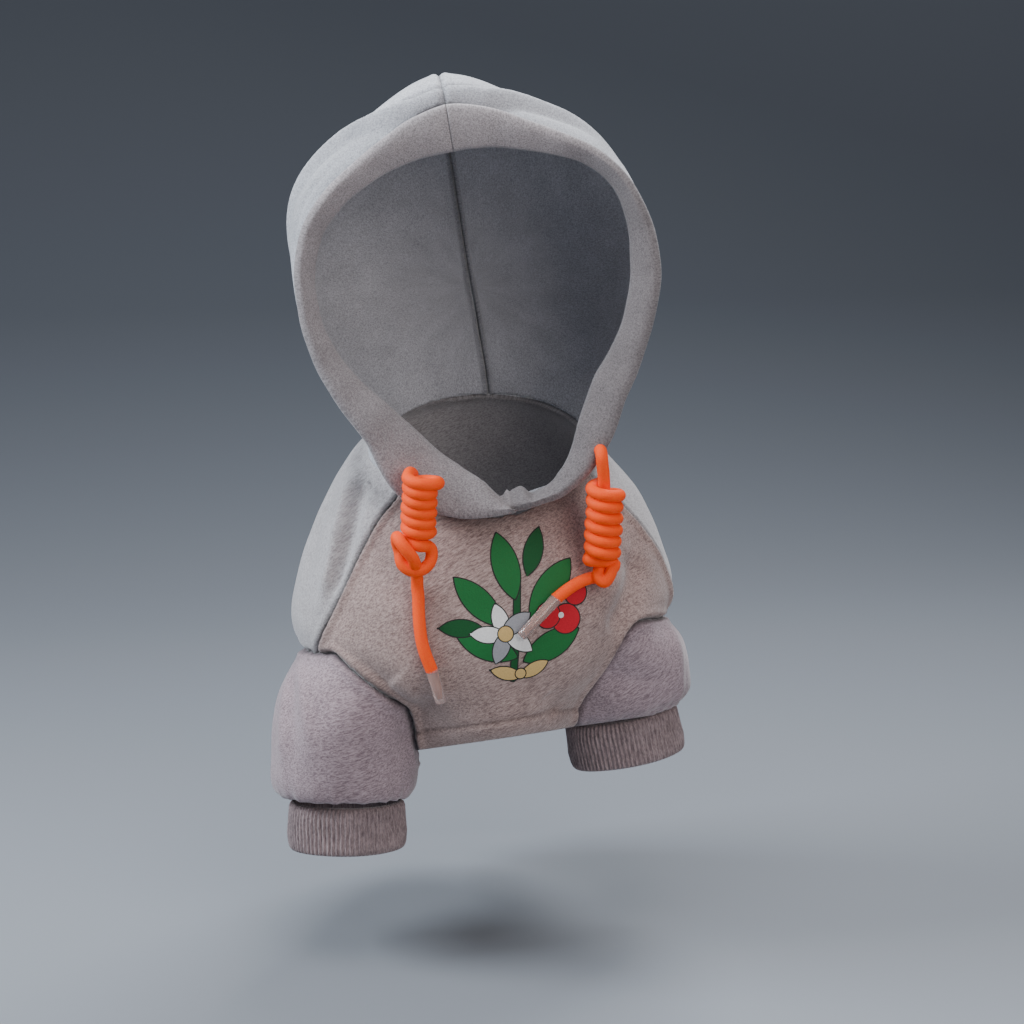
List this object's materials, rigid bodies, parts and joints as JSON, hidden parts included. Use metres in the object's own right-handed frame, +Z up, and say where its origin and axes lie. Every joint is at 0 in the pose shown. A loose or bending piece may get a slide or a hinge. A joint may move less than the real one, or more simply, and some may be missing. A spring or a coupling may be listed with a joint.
{
  "type": "pet hoodie",
  "caption": "Small pullover hoodie in its worn form: raised hood with a folded front band, set-in sleeves with rib cuffs, and drawcord ends tied in wrapped knots.",
  "frame": {"origin": "inner face of the back panel on its middle line, just below the nape seam, where the garment lies on the wearer", "axes": "+Z up, -Y the way the chest faces, +X to the right of someone who faces the chest"},
  "size_m": [0.18, 0.157, 0.3235],
  "materials": {
    "chest": "brushed fleece, heather grey",
    "back": "brushed fleece, heather grey",
    "sleeve": "brushed fleece, heather grey",
    "hood": "brushed fleece, heather grey",
    "band": "brushed fleece, heather grey, folded double",
    "cuff": "rib knit, heather grey",
    "cord": "braided cord, orange",
    "aglet": "clear plastic tip over the cord"
  },
  "bodies": {
    "root": {"chest_panel": "chest", "back_panel": "back", "sleeve_left": "sleeve", "sleeve_right": "sleeve", "cuff_left": "cuff", "cuff_right": "cuff", "hood_left": "hood", "hood_right": "hood", "hood_band_left": "band", "hood_band_right": "band", "cord_left_neck": "cord", "cord_left_knot": "cord", "cord_left_tail": "cord", "cord_right_neck": "cord", "cord_right_knot": "cord", "cord_right_tail": "cord", "aglet_left": "aglet", "aglet_right": "aglet"}
  },
  "joints": []
}
